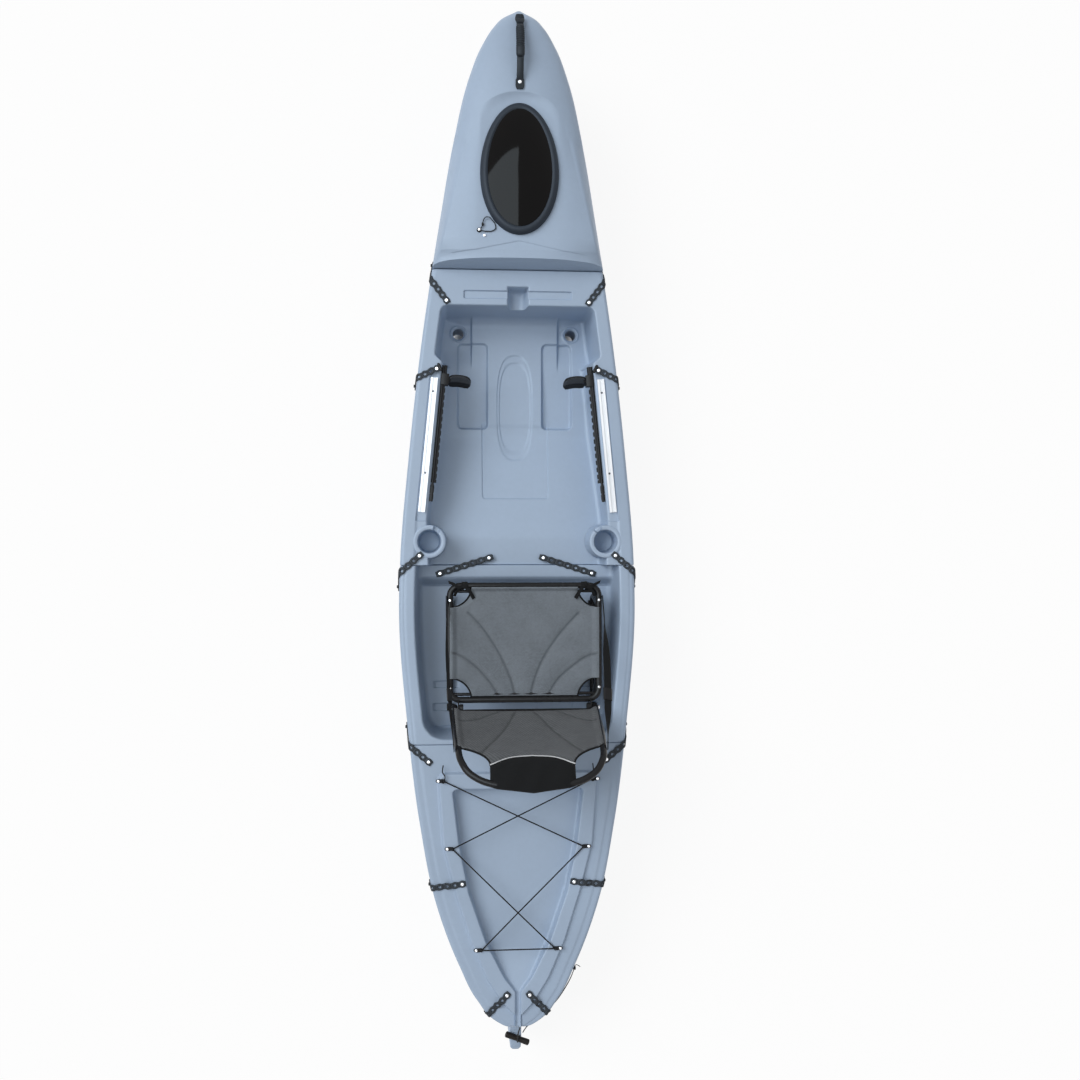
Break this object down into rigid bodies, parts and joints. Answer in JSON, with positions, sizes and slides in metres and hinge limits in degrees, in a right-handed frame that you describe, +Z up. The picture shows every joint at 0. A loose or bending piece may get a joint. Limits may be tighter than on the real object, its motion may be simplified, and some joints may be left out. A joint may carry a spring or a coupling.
{
  "type": "fishing kayak",
  "caption": "Sit-on-top fishing kayak of moulded sections held end to end by rubber straps, with a framed mesh seat, foot braces, gear tracks, bow hatch and corded tankwell.",
  "frame": {"origin": "under the middle of the boat's length and beam, on the plane its keel rests on", "axes": "+X to starboard, +Y to the bow, +Z up"},
  "size_m": [0.7992, 3.5, 0.7472],
  "materials": {
    "hull_plastic": "rotomoulded polyethylene, slate blue, fine orange peel",
    "strap_rubber": "moulded rubber strap, matte, with stainless screws",
    "black_rubber": "moulded black rubber, satin",
    "lid_gloss": "black, polished",
    "black_plastic": "moulded glass-filled nylon, fine texture",
    "track_aluminium": "clear anodised extrusion",
    "pin_steel": "stainless",
    "black_tube": "aluminium tube, black, semi-gloss",
    "grey_mesh": "open polyester mesh, dark grey",
    "black_fabric": "woven nylon, black",
    "black_cord": "braided cord, black"
  },
  "bodies": {
    "hull": {"bow_handle_grip": "black_rubber", "bow_handle_strap": "black_rubber", "bow_section": "hull_plastic", "brace_rail_port": "black_plastic", "brace_rail_starboard": "black_plastic", "deck_eye_0_port": "black_plastic", "deck_eye_0_starboard": "black_plastic", "deck_eye_1_port": "black_plastic", "deck_eye_1_starboard": "black_plastic", "deck_eye_2_port": "black_plastic", "deck_eye_2_starboard": "black_plastic", "front_deck": "hull_plastic", "front_hull": "hull_plastic", "gear_track_port": "track_aluminium", "gear_track_starboard": "track_aluminium", "hatch_tether": "black_cord", "keeper_line": "black_cord", "seat_base_fabric": "grey_mesh", "seat_base_frame": "black_tube", "seat_pin_port": "pin_steel", "seat_pin_starboard": "pin_steel", "seat_section": "hull_plastic", "seat_shoe_front_port": "black_plastic", "seat_shoe_front_starboard": "black_plastic", "seat_shoe_rear_port": "black_plastic", "seat_shoe_rear_starboard": "black_plastic", "seat_tie_port": "black_fabric", "seat_tie_starboard": "black_fabric", "seat_webbing_port": "black_fabric", "seat_webbing_starboard": "black_fabric", "stern_deck": "hull_plastic", "stern_hull": "hull_plastic", "stern_lashing": "black_cord", "strap_bow_joint_port": "strap_rubber", "strap_bow_joint_starboard": "strap_rubber", "strap_brace_port": "strap_rubber", "strap_brace_starboard": "strap_rubber", "strap_mid_joint_port": "strap_rubber", "strap_mid_joint_starboard": "strap_rubber", "strap_rear_joint_port": "strap_rubber", "strap_rear_joint_starboard": "strap_rubber", "strap_rib_port": "strap_rubber", "strap_rib_starboard": "strap_rubber", "strap_seat_joint_port": "strap_rubber", "strap_seat_joint_starboard": "strap_rubber", "strap_tail_port": "strap_rubber", "strap_tail_starboard": "strap_rubber", "tether_eye": "black_plastic"},
    "hatch": {"hatch_rim": "black_rubber", "hatch_dome": "lid_gloss"},
    "pedal_port": {"pedal_port": "black_plastic"},
    "pedal_starboard": {"pedal_starboard": "black_plastic"},
    "rod_port": {"brace_rod_port": "black_plastic"},
    "rod_starboard": {"brace_rod_starboard": "black_plastic"},
    "seat_back": {"seat_back_frame": "black_tube", "seat_back_fabric": "grey_mesh", "seat_back_cover": "black_fabric"},
    "toggle": {"stern_toggle": "black_plastic", "toggle_leash": "black_cord"}
  },
  "joints": [
    {"name": "hatch_lift", "type": "slide", "parent": "hull", "child": "hatch", "axis": [0, 0, 1], "range_m": [0, 0.045], "deforming": ["hatch_tether"]},
    {"name": "pedal_slide_port", "type": "slide", "parent": "hull", "child": "pedal_port", "axis": [-0.0971, -0.9953, 0], "range_m": [0, 0.26]},
    {"name": "pedal_slide_starboard", "type": "slide", "parent": "hull", "child": "pedal_starboard", "axis": [0.0971, -0.9953, 0], "range_m": [0, 0.26]},
    {"name": "rod_twist_port", "type": "hinge", "parent": "hull", "child": "rod_port", "pos_m": [-0.24575, 0.588, 0.3128], "axis": [0.0971, 0.9953, 0], "range_deg": [0, 40]},
    {"name": "rod_twist_starboard", "type": "hinge", "parent": "hull", "child": "rod_starboard", "pos_m": [0.24575, 0.588, 0.3128], "axis": [0.0971, -0.9953, 0], "range_deg": [0, 40]},
    {"name": "back_fold", "type": "hinge", "parent": "hull", "child": "seat_back", "pos_m": [0.021, -0.549, 0.372], "axis": [1, 0, 0], "range_deg": [-105, 0], "deforming": ["seat_webbing_port", "seat_webbing_starboard"]},
    {"name": "toggle_swing", "type": "hinge", "parent": "hull", "child": "toggle", "pos_m": [0.01, -1.6255, 0.28], "axis": [1, 0, 0], "range_deg": [-90, 0], "deforming": ["keeper_line"]}
  ]
}
